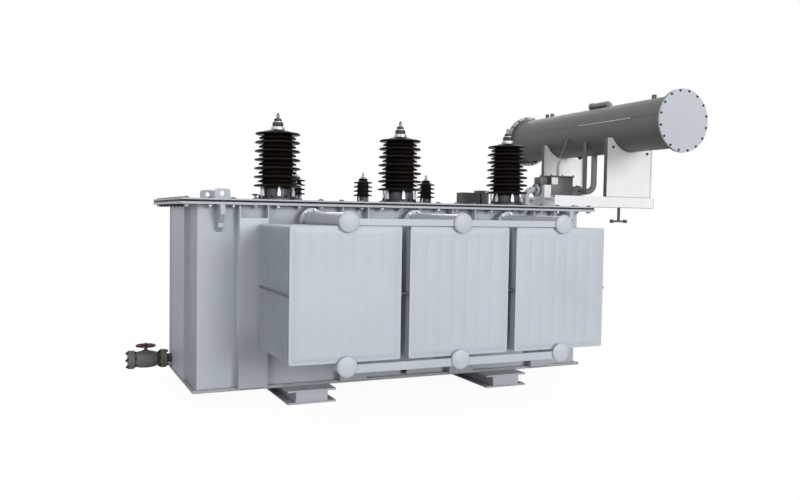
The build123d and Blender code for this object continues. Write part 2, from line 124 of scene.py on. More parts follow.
class Finish(Graph):
    def __init__(self, name):
        self.material = bpy.data.materials.new(name)
        self.material.use_nodes = True
        super().__init__(self.material.node_tree)
        self.shader = self.tree.nodes["Principled BSDF"]

    def feed(self, **inputs):
        for key, value in inputs.items():
            self.join(self.shader.inputs[key.replace("_", " ")], value)

    def mix(self, factor, first, second):      # 6 and 7 are the colour inputs
        return self.node("ShaderNodeMix", {"data_type": "RGBA"}, {0: factor, 6: first, 7: second}, 2)

    def noise(self, scale, detail=3.0, stretch=(1, 1, 1)):
        spot = self.node("ShaderNodeTexCoord", out=3)
        spot = self.node("ShaderNodeMapping", None, {"Vector": spot, "Scale": stretch})
        return self.node("ShaderNodeTexNoise", None,
                         {"Vector": spot, "Scale": scale, "Detail": detail, "Roughness": 0.55})

    def steps(self, value, *stops):
        return self.node("ShaderNodeValToRGB", {"stops": stops}, {0: value})

    # painted shade: darkens where ambient occlusion finds surfaces close by
    def occlusionShade(self, reach):
        return 1 - self.node("ShaderNodeAmbientOcclusion", {"samples": 6}, {"Distance": reach}, 1)

    def rounded(self, radius):
        return self.node("ShaderNodeBevel", {"samples": 4}, {"Radius": radius})

    def bump(self, height, strength, distance, normal):
        return self.node("ShaderNodeBump", None, {"Strength": strength, "Distance": distance,
                                                  "Height": height, "Normal": normal})


def rgb(red, green, blue):
    # from screen values to linear light
    return tuple(((c / 255 + 0.055) / 1.055) ** 2.4 if c > 10 else c / 255 / 12.92
                 for c in (red, green, blue)) + (1,)


# Enamel over steel: uneven coat, faint runs, painted shade in the corners, rubbed edges.
def enamel(name, colour, dark, rough=0.42, cornerShade=0.5, wear=0.25, streak=0.10, edge=0.003, above=None):
    paint = Finish(name)
    cloud = paint.noise(1.7, 4)
    runs = paint.noise(9.0, 3, (1.6, 1.6, 0.07))
    speck = paint.noise(160.0, 2)
    # sootAndShade: faint runs and mottling as dirt, with painted shade from occlusion in the corners
    sootAndShade = paint.steps(paint.occlusionShade(0.09) * cornerShade + runs * streak + (cloud - 0.5) * 0.12,
                       (0.10, 0), (0.62, 1))
    rounded = paint.rounded(edge)
    flat = paint.node("ShaderNodeNewGeometry", out=1)
    facing = paint.node("ShaderNodeVectorMath", {"operation": "DOT_PRODUCT"}, {0: rounded, 1: flat}, 1)
    paled = paint.steps((1 - facing) * 3 + (speck - 0.5) * 0.4, (0.12, 0), (0.5, 1)) * wear
    pale = tuple(min(1, c * 1.18 + 0.02) for c in colour[:3]) + (1,)
    coat = colour
    if above:      # another colour from a height upwards
        level = paint.node("ShaderNodeTexCoord", out=3)
        level = paint.node("ShaderNodeSeparateXYZ", None, {0: level}, 2)
        reached = paint.steps((level - above[0]) * (1 / above[2]) + 0.5, (0.1, 0), (0.9, 1))
        coat = paint.mix(reached, coat, above[1])
    coat = paint.mix((1 - paint.steps(cloud, (0.3, 0), (0.7, 1))) * 0.10, coat, (0, 0, 0, 1))
    coat = paint.mix(sootAndShade, coat, dark)
    coat = paint.mix(paled, coat, pale)
    peel = paint.noise(420.0, 1) * 0.3 + cloud * 0.7
    paint.feed(Base_Color=coat, Roughness=sootAndShade * 0.25 + cloud * 0.12 + (rough - 0.06),
               Normal=paint.bump(peel, 0.06, 0.004, rounded))
    return paint.material


def metal(name, colour, dark, rough=0.34, edge=0.0012):
    steel = Finish(name)
    cloud = steel.noise(22.0, 4)
    scratch = steel.noise(60.0, 2, (1, 1, 6))
    # sootAndShade: mottled dirt, with painted shade from occlusion in the hollows; it darkens and dulls the
    # steel
    sootAndShade = steel.steps(steel.occlusionShade(0.03) * 0.8 + (cloud - 0.5) * 0.5, (0.15, 0), (0.8, 1))
    steel.feed(Base_Color=steel.mix(sootAndShade, colour, dark), Metallic=1 - sootAndShade * 0.6,
               Roughness=rough + cloud * 0.15 + sootAndShade * 0.2,
               Normal=steel.bump(scratch, 0.12, 0.001, steel.rounded(edge)))
    return steel.material


def glaze(name, colour, pale):
    shine = Finish(name)
    shine.feed(Specular_IOR_Level=0.12)
    cloud = shine.noise(9.0, 3)
    dust = shine.noise(55.0, 4)
    up = shine.node("ShaderNodeSeparateXYZ", None, {0: shine.node("ShaderNodeNewGeometry", out=1)}, 2)
    settled = shine.steps(up * 0.8 + (dust - 0.5) * 0.5, (0.45, 0), (1.0, 1)) * 0.02
    shine.feed(Base_Color=shine.mix(settled, shine.mix(cloud, colour, pale), rgb(120, 112, 102)),
               Roughness=cloud * 0.12 + settled * 1.5 + 0.24)
    return shine.material


def casting(name, colour, dark, rough=0.6):
    iron = Finish(name)
    sand = iron.noise(130.0, 3)
    cloud = iron.noise(14.0, 4)
    # sootAndShade: mottled dirt, with painted shade from occlusion in the hollows
    sootAndShade = iron.steps(iron.occlusionShade(0.03) + (cloud - 0.5) * 0.8, (0.2, 0), (0.8, 1))
    iron.feed(Base_Color=iron.mix(sootAndShade, colour, dark), Roughness=rough + (cloud - 0.5) * 0.3,
              Normal=iron.bump(sand, 0.35, 0.002, iron.rounded(0.003)))
    return iron.material


def rubber(name, colour, dust):
    strip = Finish(name)
    cloud = strip.noise(18.0, 4)
    strip.feed(Base_Color=strip.mix(strip.steps(cloud, (0.5, 0), (0.9, 1)), colour, dust),
               Roughness=cloud * 0.2 + 0.6,
               Normal=strip.bump(strip.noise(300.0), 0.2, 0.001, strip.rounded(0.001)))
    return strip.material


finishes = {
    "tank_paint": enamel("tankPaint", rgb(186, 192, 200), rgb(118, 122, 128), cornerShade=0.2, wear=0.15),
    "radiator_paint": enamel("radiatorPaint", rgb(193, 200, 209), rgb(112, 116, 123), cornerShade=0.06, wear=0.12),
    "support_paint": enamel("supportPaint", rgb(248, 248, 250), rgb(176, 178, 184), cornerShade=0.16, wear=0.1),
    "conservator_paint": enamel("conservatorPaint", rgb(194, 199, 208), rgb(100, 102, 106), cornerShade=0.4),
    "drum_paint": enamel("drumPaint", rgb(96, 97, 97), rgb(62, 64, 65), rough=0.5, wear=0.15,
                         above=(1.88, rgb(117, 118, 116), 0.12)),      # the upper half painted paler: painted light from above
    "pipe_paint": enamel("pipePaint", rgb(154, 155, 156), rgb(60, 61, 63), rough=0.36),
    "fitting_paint": enamel("fittingPaint", rgb(106, 107, 108), rgb(46, 46, 46), cornerShade=0.5),
    "skid_paint": enamel("skidPaint", rgb(187, 189, 196), rgb(84, 86, 91), cornerShade=0.25),
    "gasket_rubber": rubber("gasketRubber", rgb(16, 16, 17), rgb(36, 36, 37)),
    "bushing_glaze": glaze("bushingGlaze", rgb(20, 18, 17), rgb(37, 32, 29)),
    "terminal_metal": metal("terminalMetal", rgb(196, 196, 197), rgb(66, 66, 66)),
    "collar_metal": metal("collarMetal", rgb(80, 80, 86), rgb(26, 26, 28), rough=0.4),
    "valve_iron": casting("valveIron", rgb(110, 109, 107), rgb(44, 43, 42)),
    "handwheel_paint": enamel("handwheelPaint", rgb(72, 8, 19), rgb(26, 7, 9), rough=0.62),
}
capPaint = enamel("capPaint", rgb(197, 203, 212), rgb(112, 115, 121), cornerShade=0.2)
# dark grey for the radiator stays and the supports' shadow lines: painted shade
stayPaint = enamel("stayPaint", rgb(110, 113, 119), rgb(50, 52, 56), cornerShade=0.5)
ventPaint = enamel("ventPaint", rgb(192, 194, 196), rgb(84, 85, 86), cornerShade=0.3,
                   above=(1.745, rgb(106, 107, 105), 0.02))      # dark near the drum
clampMetal = metal("clampMetal", rgb(224, 224, 224), rgb(110, 110, 110), rough=0.5)
boltSteel = metal("boltSteel", rgb(206, 206, 209), rgb(90, 90, 90), rough=0.45)
dullBolt = metal("dullBolt", rgb(128, 129, 133), rgb(52, 52, 53), rough=0.5)
darkBolt = casting("darkBolt", rgb(48, 48, 50), rgb(18, 18, 18), rough=0.5)
stiffenerPaint = enamel("stiffenerPaint", rgb(172, 177, 185), rgb(116, 120, 126), cornerShade=0.2, wear=0.15,
                        above=(0.42, rgb(207, 213, 221), 0.30))      # paler above as painted light against the radiators' shadow, darker towards the ground
# end walls in a darker copy of the tank's paint: painted shade
endPaint = enamel("endPaint", rgb(172, 176, 186), rgb(100, 103, 110), cornerShade=0.3, wear=0.15)
# base plate in a darker, greyer copy of the tank's paint: painted shade
basePaint = enamel("basePaint", rgb(166, 170, 172), rgb(84, 86, 88), cornerShade=0.4)
cockIron = casting("cockIron", rgb(84, 83, 80), rgb(40, 40, 39))
# a few nodes differ in tone from the rest of their slot; the end walls, the base plate and the stiffeners
# carry painted shade and light
repaint = {"relay_vent_pipe": ventPaint, "drain_cock": cockIron, "base_plate": basePaint,
           "earth_terminals": darkBolt,
           "front_stiffeners": stiffenerPaint, "back_stiffeners": stiffenerPaint,
           "left_end_wall": endPaint, "right_end_wall": endPaint}
for part in frame["record"]["subparts"]:
    slots = nodes[part["node"]].data.materials
    slots.clear()
    slots.append(repaint.get(part["node"], finishes[part["material_slot"]]))
print("finishes made", len(finishes))


# Geometry Nodes recipe: named sizes in, one realised mesh with its finish out.
class Recipe(Graph):
    def __init__(self, name, **sizes):
        super().__init__(bpy.data.node_groups.new(name, "GeometryNodeTree"))
        face = self.tree.interface
        face.new_socket("Geometry", in_out="OUTPUT", socket_type="NodeSocketGeometry")
        self.keys = {}
        for key, kind in {"Geometry": "Geometry", **sizes, "Finish": "Material"}.items():
            self.keys[key] = face.new_socket(key, in_out="INPUT", socket_type="NodeSocket" + kind).identifier
        self.entry = self.node("NodeGroupInput").socket.node

    def given(self, key):
        return Wire(self, self.entry.outputs[key])

    def lift(self, shape, height):
        shift = self.node("ShaderNodeCombineXYZ", None, {2: height})
        return self.node("GeometryNodeTransform", None, {"Geometry": shape, "Translation": shift})

    def drum(self, sides, radius, depth, height):
        made = self.node("GeometryNodeMeshCylinder", None,
                         {"Vertices": sides, "Radius": radius, "Depth": depth})
        return self.lift(made, height)

    def scatter(self, shape, rotation):
        return self.node("GeometryNodeInstanceOnPoints", None,
                         {"Points": self.given("Geometry"), "Instance": shape, "Rotation": rotation})

    def facing(self, axis):
        out = self.node("GeometryNodeInputNamedAttribute", {"data_type": "FLOAT_VECTOR"}, {"Name": "axis"})
        return self.node("FunctionNodeAlignRotationToVector", {"axis": axis}, {"Vector": out})

    def close(self, result):
        result = self.node("GeometryNodeRealizeInstances", None, {0: result})
        result = self.node("GeometryNodeSetMaterial", None, {0: result, 2: self.given("Finish")})
        self.node("NodeGroupOutput", None, {0: result})


def piece(name, mesh, paint=None, stands=(), body="transformer", crease=32):
    mesh.name = name
    if paint:
        mesh.materials.clear()
        mesh.materials.append(paint)
    mesh.shade_smooth()
    mesh.set_sharp_from_angle(angle=math.radians(crease))
    made = bpy.data.objects.new(name, mesh)
    scene.collection.objects.link(made)
    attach(made, body)
    if stands:
        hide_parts(*stands)


def grown(mesh, recipe, **values):
    seed = bpy.data.objects.new("seed", mesh)
    scene.collection.objects.link(seed)
    maker = seed.modifiers.new("maker", "NODES")
    maker.node_group = recipe.tree
    for key, value in values.items():
        maker[recipe.keys[key]] = value
    made = bpy.data.meshes.new_from_object(seed.evaluated_get(bpy.context.evaluated_depsgraph_get()))
    bpy.data.objects.remove(seed)
    if "axis" in made.attributes:
        made.attributes.remove(made.attributes["axis"])
    return made


def dotted(spots):
    mesh = bpy.data.meshes.new("spots")
    mesh.from_pydata([Vector(point) for point, axis in spots], [], [])
    axes = mesh.attributes.new("axis", "FLOAT_VECTOR", "POINT")
    axes.data.foreach_set("vector", [c for point, axis in spots for c in axis])
    return mesh


# Collects turned and flat shapes into one mesh.
class Shape:
    def __init__(self):
        self.points, self.faces = [], []

    def add(self, points, faces, place):
        start = len(self.points)
        self.points += [place @ Vector(p) for p in points]
        self.faces += [[start + i for i in face] for face in faces]

    def turned(self, outline, place, sides):
        points, rings, faces = [], [], []
        for radius, height in outline:
            if rings and (radius, height) == outline[0]:
                rings.append(rings[0])      # the outline closes on itself
                continue
            count = sides if radius > 1e-6 else 1
            rings.append(range(len(points), len(points) + count))
            for i in range(count):
                angle = 2 * math.pi * i / sides
                points.append((radius * math.cos(angle), radius * math.sin(angle), height))
        for low, high in zip(rings[:-1], rings[1:]):
            for i in range(sides):
                j = (i + 1) % sides
                corners = [low[i % len(low)], low[j % len(low)], high[j % len(high)], high[i % len(high)]]
                corners = list(dict.fromkeys(corners))
                if len(corners) > 2:
                    faces.append(corners)
        self.add(points, faces, place)

    def bar(self, low, high, place=Matrix()):
        points = [(x, y, z) for x in (low[0], high[0]) for y in (low[1], high[1]) for z in (low[2], high[2])]
        faces = [(0, 1, 3, 2), (4, 6, 7, 5), (0, 4, 5, 1), (2, 3, 7, 6), (0, 2, 6, 4), (1, 5, 7, 3)]
        self.add(points, faces, place)

    def mesh(self, name, bevel=0):
        made = bpy.data.meshes.new(name)
        made.from_pydata(self.points, [], self.faces)
        work = bmesh.new()
        work.from_mesh(made)
        bmesh.ops.recalc_face_normals(work, faces=work.faces)
        if bevel:
            sharp = [edge for edge in work.edges if edge.calc_face_angle(0) > math.radians(50)]
            bmesh.ops.bevel(work, geom=sharp, offset=bevel, segments=2, profile=0.5, affect="EDGES")
        work.to_mesh(made)
        work.free()
        return made


# Turns by some degrees about one axis, then moves into place.
def placed(place, degrees=0, axis="Z"):
    return Matrix.Translation(place) @ Matrix.Rotation(math.radians(degrees), 4, axis)


def extent(points):
    return [[pick(point[i] for point in points) for i in range(3)] for pick in (min, max)]


# Hex bolts: washer, six-sided head and a stub of thread, each turned a little differently.
# Each row: sides, radius as a share of the head's, depth and middle as shares of its height.
hexBolt = {"washer": (14, 1.32, 0.22, 0.11), "head": (6, 1.0, 1.0, 0.72), "thread": (8, 0.5, 0.5, 1.4),
           "spin": 1.05, "seed": 7}
bolt = Recipe("hexBolts", Head="Float", Height="Float")
head, height = bolt.given("Head"), bolt.given("Height")
stack = []
for key in ("washer", "head", "thread"):
    sides, radius, depth, middle = hexBolt[key]
    stack.append(bolt.drum(sides, head * radius, height * depth, height * middle))
spin = bolt.node("FunctionNodeRandomValue", {"data_type": "FLOAT"},
                 {2: 0.0, 3: hexBolt["spin"], 8: hexBolt["seed"]}, 1)      # least, most and seed
spin = bolt.node("FunctionNodeAxisAngleToRotation", None, {"Axis": (0, 0, 1), "Angle": spin})
spin = bolt.node("FunctionNodeRotateRotation", {"rotation_space": "LOCAL"}, {0: bolt.facing("Z"), 1: spin})
bolt.close(bolt.scatter(bolt.node("GeometryNodeJoinGeometry", None, {0: stack}), spin))


def boltRow(name, spots, head, height, paint, body="transformer"):
    made = grown(dotted(spots), bolt, Head=head, Height=height, Finish=paint)
    piece(name, made, body=body, crease=40)
    print(name, len(spots))


def ring(middle, axis, radius, count, start=0.5, outward=False):
    axis = Vector(axis)
    side = axis.orthogonal().normalized()
    ways = [Matrix.Rotation(2 * math.pi * (i + start) / count, 3, axis) @ side for i in range(count)]
    return [(Vector(middle) + way * radius, way if outward else axis) for way in ways]


# Rim bolts: low dull heads on the cover, pale nuts under the long sides, the same nuts painted dark under the
# ends as painted shade.
rimBolts = {"pitch": 0.145, "edge": 0.035, "head": 0.0165, "headHeight": 0.006, "nutHeight": 0.011,
            "web": 0.092, "lug": 1.315, "keep": 0.034}      # no nut this near to a web or a lug
rimLow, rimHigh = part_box("tank_rim")
reachX, reachY = rimHigh.x - tankX - rimBolts["edge"], rimHigh.y - rimBolts["edge"]
countX, countY = round(2 * reachX / rimBolts["pitch"]), round(2 * reachY / rimBolts["pitch"])
sideSpots = [(-reachX + 2 * reachX * i / countX, side * reachY)
             for i in range(countX + 1) for side in (-1, 1)]
endSpots = [(side * reachX, -reachY + 2 * reachY * i / countY)
            for i in range(1, countY) for side in (-1, 1)]
blocked = [s + side * rimBolts["web"] for s in stations for side in (-1, 1)]
blocked += [-rimBolts["lug"], rimBolts["lug"]]
freeSpots = [(x, y) for x, y in sideSpots if min(abs(x - b) for b in blocked) > rimBolts["keep"]]
for name, spots, level, way, height, paint in (
        ("rimBoltHeads", sideSpots + endSpots, coverTop, 1, rimBolts["headHeight"], dullBolt),
        ("rimNuts", freeSpots, rimLow.z, -1, rimBolts["nutHeight"], boltSteel),
        ("rimEndShadedNuts", endSpots, rimLow.z, -1, rimBolts["nutHeight"], darkBolt)):
    boltRow(name, [((x + tankX, y, level), (0, 0, way)) for x, y in spots],
            rimBolts["head"], height, paint)

# Radiators: pressed panels on two header pipes with flanges and caps, then stays across the edges.
radiator = {"count": 13, "pitch": 0.053, "first": 0.672, "width": 0.694, "foot": 0.368, "top": 1.166,
            "headers": (0.346, 1.190), "back": 0.632, "face": 1.343, "pipe": 0.054, "flange": 0.080,
            "flangeDepth": 0.016, "fillet": (0.005, 0.006), "cap": 0.062, "capDepth": 0.018,
            "capEdge": 0.002, "dome": 0.009, "bolts": 6, "boltRing": 0.068, "bolt": 0.0095,
            "boltHeight": 0.008, "stay": 0.006, "stayFoot": 0.759, "stayHeight": 0.012,
            "stayStart": 0.005, "stayEnd": 0.030}
# One panel: a flat rim, then flutes whose grooves fade towards the ends and at half height.
pressing = {"plate": 0.0030, "crown": 0.0026, "lip": 0.006, "rim": 0.020, "slope": (0.004, 0.009),
            "corner": 0.011, "flutes": 7, "groove": 0.020, "depth": 0.72, "plain": 0.04, "press": 0.085,
            "waist": 0.35, "waistHalf": 0.04, "waistFade": 0.12,
            "endRows": (0.045, 0.06, 0.075, 0.09, 0.11), "midRow": 0.05}


def smooth(value):
    value = max(0.0, min(1.0, value))
    return value * value * (3 - 2 * value)


def pressedPanel():
    half, tall = radiator["width"] / 2, (radiator["top"] - radiator["foot"]) / 2
    middle, rim, corner = (radiator["top"] + radiator["foot"]) / 2, pressing["rim"], pressing["corner"]
    flutes, groove, plain = pressing["flutes"], pressing["groove"], pressing["plain"]
    slope, weak = pressing["slope"][-1], pressing["waist"]
    edge = [0, pressing["lip"], rim] + [rim + step for step in pressing["slope"]]
    inner = 2 * (half - edge[-1])
    pitch = inner / flutes
    inside = [pitch * (i + 0.5) for i in range(flutes)]
    inside += [pitch * i + groove * step / 3 for i in range(1, flutes) for step in range(-3, 4)]
    columns = [-half + e for e in edge] + [x - inner / 2 for x in sorted(inside)]
    columns += [half - e for e in reversed(edge)]
    ends = edge + list(pressing["endRows"])
    rows = [-tall + e for e in ends] + [pressing["midRow"] * i for i in range(-4, 5)]
    rows += [tall - e for e in reversed(ends)]
    points, faces = [], []
    for side in (-1, 1):
        for z in rows:
            for x in columns:
                inset = min(half - abs(x), tall - abs(z))
                turns = (x + inner / 2) / pitch
                seam = min(max(round(turns), 1), flutes - 1)      # nearest groove
                dip = smooth(1 - abs(turns - seam) * pitch / groove)
                fade = smooth((tall - abs(z) - plain) / (pressing["press"] - plain))
                waist = smooth((abs(z) - pressing["waistHalf"]) / pressing["waistFade"])
                fade *= weak + (1 - weak) * waist      # flatter band at half height
                rise = smooth((inset - rim) / slope) * (1 - pressing["depth"] * dip * fade)
                dx, dz = abs(x) - half + corner, abs(z) - tall + corner
                shrink = max(dx, dz) / math.hypot(dx, dz) if dx > 0 and dz > 0 else 1
                px = math.copysign(half - corner + dx * shrink, x) if shrink < 1 else x
                pz = math.copysign(tall - corner + dz * shrink, z) if shrink < 1 else z
                points.append((px, side * (pressing["plate"] + pressing["crown"] * rise), middle + pz))
    wide, high = len(columns), len(rows)
    back = wide * high
    for r in range(high - 1):
        for c in range(wide - 1):
            a = r * wide + c
            faces.append((a, a + 1, a + wide + 1, a + wide))
            faces.append((back + a, back + a + wide, back + a + wide + 1, back + a + 1))
    border = list(range(wide)) + [r * wide + wide - 1 for r in range(1, high)]
    border += [(high - 1) * wide + c for c in range(wide - 2, -1, -1)]
    border += [r * wide for r in range(high - 2, 0, -1)]
    for a, b in zip(border, border[1:] + border[:1]):
        faces.append((a, back + a, back + b, b))
    return points, faces


panelStack = Recipe("panelStack", Count="Int", Pitch="Vector")
line = panelStack.node("GeometryNodeMeshLine", None,
                       {"Count": panelStack.given("Count"), "Offset": panelStack.given("Pitch")})
panelStack.close(panelStack.node("GeometryNodeInstanceOnPoints", None,
                                 {"Points": line, "Instance": panelStack.given("Geometry")}))
panelPoints, panelFaces = pressedPanel()
# outline of a header from its flange at the wall to its domed cap
face, back, cap, dome = (radiator[key] for key in ("face", "back", "cap", "dome"))
pipe, flange, deep = (radiator[key] for key in ("pipe", "flange", "flangeDepth"))
capBack, capEdge, fillet = face - radiator["capDepth"], radiator["capEdge"], radiator["fillet"]
header = [(0, back), (flange, back), (flange, back + deep), (pipe + fillet[0], back + deep),
          (pipe, back + deep + fillet[1]), (pipe, capBack), (cap - capEdge, capBack),
          (cap, capBack + capEdge)]
header += [(cap * math.cos(turn), face - dome + dome * math.sin(turn))
           for turn in map(math.radians, range(0, 90, 15))]
header.append((0, face))
headers, stays, flangeBolts, middles = Shape(), Shape(), [], []
foot, top = radiator["stayFoot"], radiator["stayFoot"] + radiator["stayHeight"]
for row, way in (("front", -1), ("back", 1)):
    ySpan = sorted((way * (radiator["first"] - radiator["stayStart"]), way * (face - radiator["stayEnd"])))
    for place in ("left", "middle", "right"):
        node = f"{row}_radiator_{place}"
        low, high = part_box(node)
        middle = (low.x + high.x) / 2
        middles.append(middle)
        sheet = Shape()
        sheet.add(panelPoints, panelFaces, placed((middle, way * radiator["first"], 0)))
        stack = grown(sheet.mesh("panel"), panelStack, Count=radiator["count"],
                      Pitch=(0, way * radiator["pitch"], 0), Finish=finishes["radiator_paint"])
        piece(f"{row}Radiator{place.title()}", stack, stands=[node], crease=25)
        for z in radiator["headers"]:
            headers.turned(header, placed((middle, 0, z), -90 * way, "X"), sides=40)
            for step in (1, -1):
                flangeBolts += ring((middle, way * (back + step * deep), z), (0, step * way, 0),
                                    radiator["boltRing"], radiator["bolts"])
        for side in (-1, 1):
            edge = middle + side * radiator["width"] / 2
            xSpan = sorted((edge, edge + side * radiator["stay"]))
            stays.bar((xSpan[0], ySpan[0], foot), (xSpan[1], ySpan[1], top))
piece("radiatorHeaders", headers.mesh("headers"), capPaint)
# the stays painted dark grey: painted shade of the gaps between radiators
piece("radiatorStays", stays.mesh("stays"), stayPaint)
linkShade = {"proud": 0.0006, "keep": 0.002}      # dark sleeves on the short links between radiators: painted shade in the gaps
gapShades, proud = Shape(), linkShade["proud"]
ends = [v.co for v in nodes["radiator_ties"].data.vertices if abs(v.co.z - foot) < linkShade["keep"]]
for way in (-1, 1):
    for before, after in zip(middles[:2], middles[1:3]):
        low, high = extent([p for p in ends if p.y * way > 0 and before < p.x < after])
        gapShades.bar((low[0], low[1] - proud, foot - proud), (high[0], high[1] + proud, top + proud))
piece("linkShadeSleeves", gapShades.mesh("gapShades"), darkBolt)
boltRow("radiatorFlangeBolts", flangeBolts, radiator["bolt"], radiator["boltHeight"], boltSteel)
print("radiators dressed")

# Bushings: rounded sheds turned about each axis, clamps round the collars, stepped terminals.
# The top rows are radii and depths below the insulator's upper end.
hvBushing = {"sheds": 13, "pitch": 0.029, "core": 0.100, "wide": 0.160, "narrow": 0.132, "taper": 0.06,
             "rise": 0.0255, "lip": 0.0074, "top": ((0.078, 0.003), (0.074, 0)),
             "clamps": 6, "clampTurn": 0.583, "clampRing": 0.118, "clampLift": 0.040,
             "foot": (0.012, 0.022, 0.028), "finger": (0.011, 0.017, 0.060),
             "bolts": 6, "boltTurn": 0.083, "boltRing": 0.116, "boltLift": 0.014,
             "bolt": 0.0105, "boltHeight": 0.013}
lvBushing = {"sheds": 4, "pitch": 0.034, "core": 0.045, "wide": 0.076, "rise": 0.0205, "lip": 0.0058,
             "top": ((0.033, 0.012), (0.037, 0.007), (0.037, 0.002), (0.034, 0)),
             "clamps": 4, "clampTurn": 0.86, "clampRing": 0.051, "clampLift": 0.028,
             "foot": (0.007, 0.010, 0.02), "finger": (0.006, 0.010, 0.036),
             "bolts": 4, "boltTurn": 0.75, "boltRing": 0.0555, "boltLift": 0.010,
             "bolt": 0.0055, "boltHeight": 0.007}


def shed(z, core, reach, rise, lip):
    return [(core, z - lip / 4), (core + 1.5 * lip, z + lip / 4), (reach - 1.5 * lip, z),
            (reach - 0.35 * lip, z + 0.3 * lip), (reach, z + lip), (reach - 0.35 * lip, z + 1.7 * lip),
            (reach - 1.5 * lip, z + 2.1 * lip), (core + 2.2 * lip, z + rise - 1.4 * lip), (core, z + rise)]


hvAxes, lvAxes = [], []
for place in ("left", "middle", "right"):
    node = f"hv_insulator_{place}"
    low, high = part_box(node)
    axis = Vector(((low.x + high.x) / 2, (low.y + high.y) / 2, 0))
    hvAxes.append(axis)
    outline = [(0, low.z), (hvBushing["core"], low.z)]
    for i in range(hvBushing["sheds"]):
        shrink = 1 - hvBushing["taper"] * i / hvBushing["sheds"]
        reach = hvBushing["wide"] if i % 2 == 0 else hvBushing["narrow"]
        outline += shed(low.z + (i + 0.5) * hvBushing["pitch"], hvBushing["core"] * shrink, reach * shrink,
                        hvBushing["rise"], hvBushing["lip"])
    outline += [(radius, high.z - depth) for radius, depth in hvBushing["top"]] + [(0, high.z)]
    body = Shape()
    body.turned(outline, placed(axis), sides=72)
    piece(f"hvInsulator{place.title()}", body.mesh("sheds"), finishes["bushing_glaze"],
          [node], crease=50)
low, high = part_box("lv_insulators")
lvRow, lvReach = (low.y + high.y) / 2, (high.x - low.x) / 2 - lvBushing["wide"]
body = Shape()
for i in (-1, 0, 1):
    axis = Vector(((low.x + high.x) / 2 + i * lvReach, lvRow, 0))
    lvAxes.append(axis)
    outline = [(0, low.z), (lvBushing["core"], low.z)]
    for k in range(lvBushing["sheds"]):
        z = low.z + (k + 0.5) * lvBushing["pitch"] - lvBushing["rise"] / 2
        outline += shed(z, lvBushing["core"], lvBushing["wide"], lvBushing["rise"], lvBushing["lip"])
    outline += [(radius, high.z - depth) for radius, depth in lvBushing["top"]] + [(0, high.z)]
    body.turned(outline, placed(axis), sides=48)
piece("lvInsulators", body.mesh("sheds"), finishes["bushing_glaze"],
      ["lv_insulators"], crease=50)

clampRing = Recipe("clampRing", Foot="Vector", Finger="Vector")
foot = clampRing.node("GeometryNodeMeshCube", None, {"Size": clampRing.given("Foot")})
finger = clampRing.node("GeometryNodeMeshCone", {"fill_type": "NGON"},
                        {"Vertices": 4, "Radius Top": 0.32, "Radius Bottom": 0.9, "Depth": 1.0})
finger = clampRing.node("GeometryNodeTransform", None,
                        {"Geometry": finger, "Rotation": (0, 0, math.radians(45))})
finger = clampRing.node("GeometryNodeTransform", None,
                        {"Geometry": finger, "Scale": clampRing.given("Finger")})
both = clampRing.node("GeometryNodeJoinGeometry", None, {0: [foot, finger]})
clampRing.close(clampRing.scatter(both, clampRing.facing("X")))


def clamps(name, axes, form):
    spots = []
    for axis in axes:
        spots += ring(axis + Vector((0, 0, coverTop + form["clampLift"])), (0, 0, 1), form["clampRing"],
                      form["clamps"], form["clampTurn"], outward=True)
    made = grown(dotted(spots), clampRing, Foot=form["foot"], Finger=form["finger"], Finish=clampMetal)
    piece(name, made, crease=30)


def collarBolts(name, axes, form):
    spots = []
    for axis in axes:
        spots += ring(axis + Vector((0, 0, coverTop + form["boltLift"])), (0, 0, 1), form["boltRing"],
                      form["bolts"], form["boltTurn"])
    boltRow(name, spots, form["bolt"], form["boltHeight"], darkBolt)


clamps("hvClamps", hvAxes, hvBushing)
clamps("lvClamps", lvAxes, lvBushing)
collarBolts("hvFlangeBolts", hvAxes, hvBushing)
collarBolts("lvFlangeBolts", lvAxes, lvBushing)

# radii and top levels of the stacked rings: bright and dark by turns, then the stud
hvTerminal = {"radii": (0.046, 0.037, 0.033, 0.027), "levels": (0.029, 0.055, 0.062, 0.082), "hex": 3,
              "stud": 0.012, "threadTop": 0.108, "threads": 9}
lvTerminal = {"radii": (0.022, 0.018, 0.0165), "levels": (0.006, 0.010, 0.014), "hex": 2,
              "stud": 0.009, "threadTop": 0.0435, "threads": 8}
studCut = {"root": 0.9, "tip": 0.25, "blunt": 0.001, "lip": 0.2}      # thread, point and ring edges


def terminals(name, node, axes, form):
    low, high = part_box(node)
    bright, dark = Shape(), Shape()
    stud, tip, start, end = form["stud"], high.z - low.z, form["levels"][-1], form["threadTop"]
    root, pitch = stud * studCut["root"], (end - start) / form["threads"]
    thread = [(radius, start + (i + rise) * pitch)
              for i in range(form["threads"]) for radius, rise in ((root, 0), (stud, 0.5))]
    thread += [(root, end), (0, end)]
    point = [(0, end), (root, end), (stud * studCut["tip"], tip - studCut["blunt"]), (0, tip)]
    for axis in axes:
        spot = placed(axis + Vector((0, 0, low.z)))
        foot = 0
        for turn, (radius, top) in enumerate(zip(form["radii"], form["levels"])):
            lip = (top - foot) * studCut["lip"]
            outline = [(0, foot), (radius - lip, foot), (radius, foot + lip), (radius, top - lip),
                       (radius - lip, top), (0, top)]
            (dark if turn % 2 else bright).turned(outline, spot, sides=6 if turn == form["hex"] else 40)
            foot = top
        bright.turned([(0, start)] + thread, spot, sides=20)
        dark.turned(point, spot, sides=20)
    piece(name + "Studs", bright.mesh("studs"), finishes["terminal_metal"], [node],
          crease=25)
    piece(name + "Rings", dark.mesh("rings"), darkBolt)


terminals("hvTerminal", "hv_terminals", hvAxes, hvTerminal)
terminals("lvTerminal", "lv_terminals", lvAxes, lvTerminal)
print("bushings dressed")

